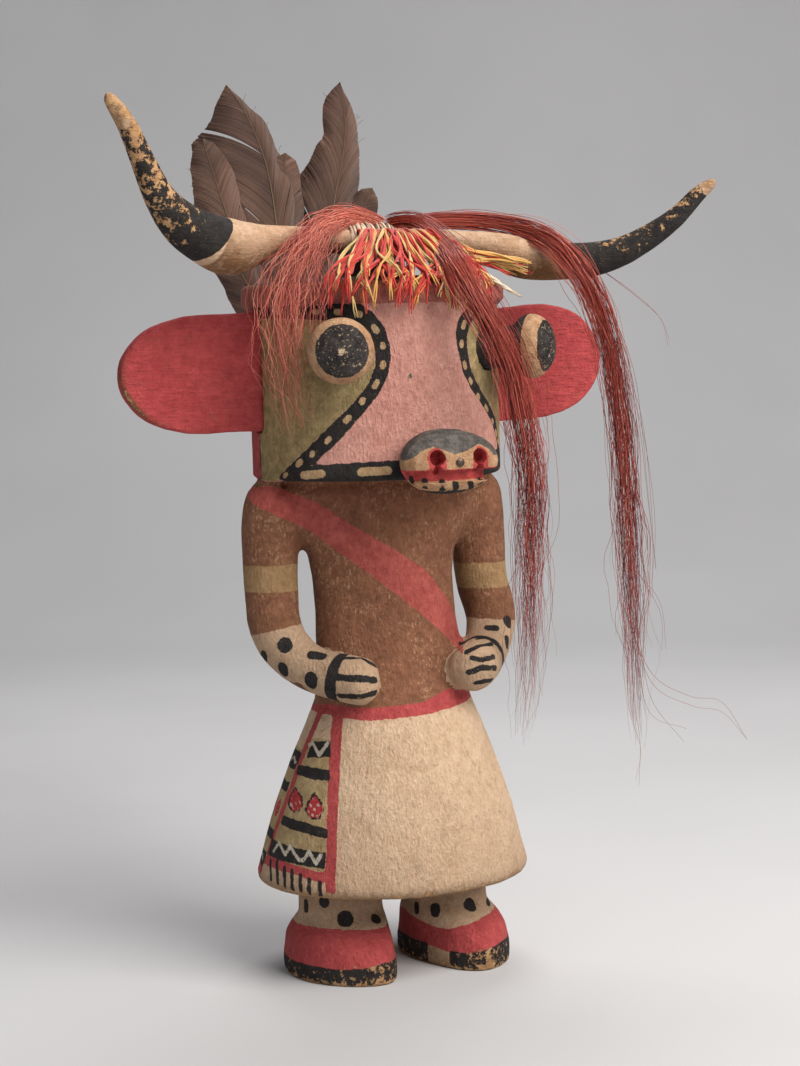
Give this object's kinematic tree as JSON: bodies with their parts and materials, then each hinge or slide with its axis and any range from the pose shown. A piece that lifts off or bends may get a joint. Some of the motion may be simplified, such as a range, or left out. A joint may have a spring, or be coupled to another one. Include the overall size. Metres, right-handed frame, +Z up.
{
  "type": "cow sculpture",
  "caption": "Carved and painted wooden cow figure, standing in a kilt, with a cylinder head, board ears, peg eyes, a nailed snout, a sweeping horn bar, feathers, red hair and a yarn fringe.",
  "frame": {"origin": "on the floor under the middle of the overall size; the head's upright axis passes 0.7 mm to the figure's right and 3.5 mm behind it", "axes": "+Z up, the figure faces -Y, +X is the figure's left"},
  "size_m": [0.23, 0.14, 0.3334],
  "materials": {
    "painted_wood_body": "matt mineral paint, worn",
    "red_paint": "matt mineral paint, worn",
    "black_paint": "matt mineral paint, worn",
    "cream_paint": "matt mineral paint, worn",
    "nail_steel": "dull",
    "feather_brown": "soft feather vane",
    "red_hair": "dyed hair",
    "dyed_yarn": "dyed yarn",
    "white_cotton": "soft cotton"
  },
  "bodies": {
    "root": {"body": "painted_wood_body", "ear_right": "red_paint", "ear_left": "red_paint", "eye_right": "black_paint", "eye_left": "black_paint", "snout": "black_paint", "snout_nail": "nail_steel", "horns": "cream_paint", "tie_wrap": "white_cotton", "tie_cord_end": "white_cotton", "feather_low": "feather_brown", "feather_outer": "feather_brown", "feather_broad": "feather_brown", "feather_inner": "feather_brown", "feather_tall": "feather_brown", "feather_short": "feather_brown", "yarn_fringe": "dyed_yarn", "hair_lock_right": "red_hair", "hair_lock_middle": "red_hair", "hair_lock_left": "red_hair"}
  },
  "joints": []
}
